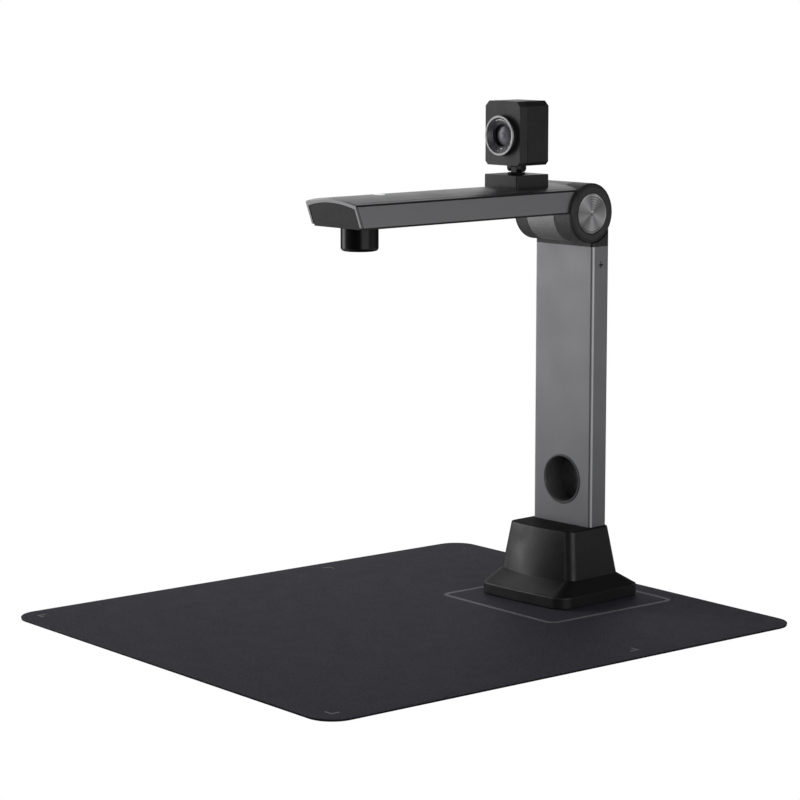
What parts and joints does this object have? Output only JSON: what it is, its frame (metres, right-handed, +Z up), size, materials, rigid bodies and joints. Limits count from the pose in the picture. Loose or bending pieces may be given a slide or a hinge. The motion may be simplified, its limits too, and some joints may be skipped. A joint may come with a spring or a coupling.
{
  "type": "book scanner",
  "caption": "Overhead document camera with a fold-down arm on a column and base, a swivelling face camera and a soft desk mat.",
  "frame": {"origin": "centre of the mat's underside, where it lies on the desk", "axes": "+Z up; -Y towards the reader, the way the arm points; +X to the right when facing +Y; the stand's column stands at X 19 mm, Y 150 mm"},
  "size_m": [0.417, 0.4648, 0.3877],
  "materials": {
    "mat_cloth": "fine woven top, matt",
    "mat_foam": "closed-cell rubber, matt",
    "black_plastic": "fine-textured black",
    "inner_plastic": "moulded, uncoated",
    "satin_plastic": "satin black",
    "arm_anodised": "grey anodised, satin",
    "column_anodised": "grey anodised, fine brushed",
    "bright_metal": "turned and brushed",
    "knuckle_metal": "satin silver",
    "steel": "plain steel",
    "zinc_screw": "zinc-plated",
    "black_screw": "black-plated steel",
    "cast_weight": "rough cast",
    "soft_rubber": "matt",
    "circuit_board": "green solder mask",
    "chip": "epoxy",
    "cable_jacket": "matt jacket",
    "brass": "sheet, self-coloured",
    "frosted": "frosted, translucent",
    "led": "phosphor gel",
    "lens_glass": "coated optical glass",
    "lens_black": "black anodised",
    "front_black": "fine-textured dark front",
    "dark_glass": "smoked gloss"
  },
  "bodies": {
    "stand": {"mat_skin": "mat_cloth", "mat_foam": "mat_foam", "base_shell": "black_plastic", "base_cover": "inner_plastic", "base_screws": "zinc_screw", "rubber_feet": "soft_rubber", "ballast": "cast_weight", "usb_board": "circuit_board", "usb_chips": "chip", "usb_socket": "steel", "column": "column_anodised", "column_foot": "steel", "column_foot_screws": "zinc_screw", "column_side_screws": "black_screw", "parking_cup": "satin_plastic", "column_harness": "cable_jacket", "hinge_head": "black_plastic", "barrel_sleeve": "knuckle_metal", "hinge_shaft": "steel"},
    "arm": {"arm_shell": "arm_anodised", "arm_front_cap": "front_black", "arm_bottom_cover": "black_plastic", "cover_screws": "black_screw", "knuckle_right": "satin_plastic", "knuckle_left": "satin_plastic", "hinge_bracket_right": "steel", "hinge_bracket_left": "steel", "bracket_screws": "zinc_screw", "friction_washers": "brass", "spring_washers": "steel", "shaft_nuts": "zinc_screw", "end_cap_right": "satin_plastic", "end_cap_left": "satin_plastic", "cap_disc_right": "bright_metal", "cap_disc_left": "bright_metal", "touch_key": "frosted", "touch_board": "circuit_board", "arm_harness": "cable_jacket", "lens_shroud": "lens_black", "lamp_window": "frosted", "lamp_board": "circuit_board", "lamp_leds": "led", "lens_barrel": "lens_black", "lens_glass": "lens_glass", "lens_mount": "inner_plastic", "image_sensor": "dark_glass", "camera_board": "circuit_board", "swivel_foot": "black_plastic", "foot_screws": "zinc_screw"},
    "swivel": {"swivel_post": "lens_black", "swivel_clip": "steel"},
    "face_camera": {"head_front": "front_black", "head_rear": "black_plastic", "head_screws": "black_screw", "tilt_pin": "steel", "focus_ring": "bright_metal", "eye_barrel": "lens_black", "eye_glass": "lens_glass", "eye_board": "circuit_board", "eye_sensor": "dark_glass"}
  },
  "joints": [
    {"name": "arm_fold", "type": "hinge", "parent": "stand", "child": "arm", "pos_m": [0.019, 0.15, 0.302], "axis": [1, 0, 0], "range_deg": [0, 90]},
    {"name": "camera_swivel", "type": "hinge", "parent": "arm", "child": "swivel", "pos_m": [0.019, 0.0994, 0.337], "axis": [0, 0, 1], "range_deg": [-175, 175]},
    {"name": "camera_tilt", "type": "hinge", "parent": "swivel", "child": "face_camera", "pos_m": [0.019, 0.0994, 0.3374], "axis": [1, 0, 0], "range_deg": [-20, 20]}
  ]
}
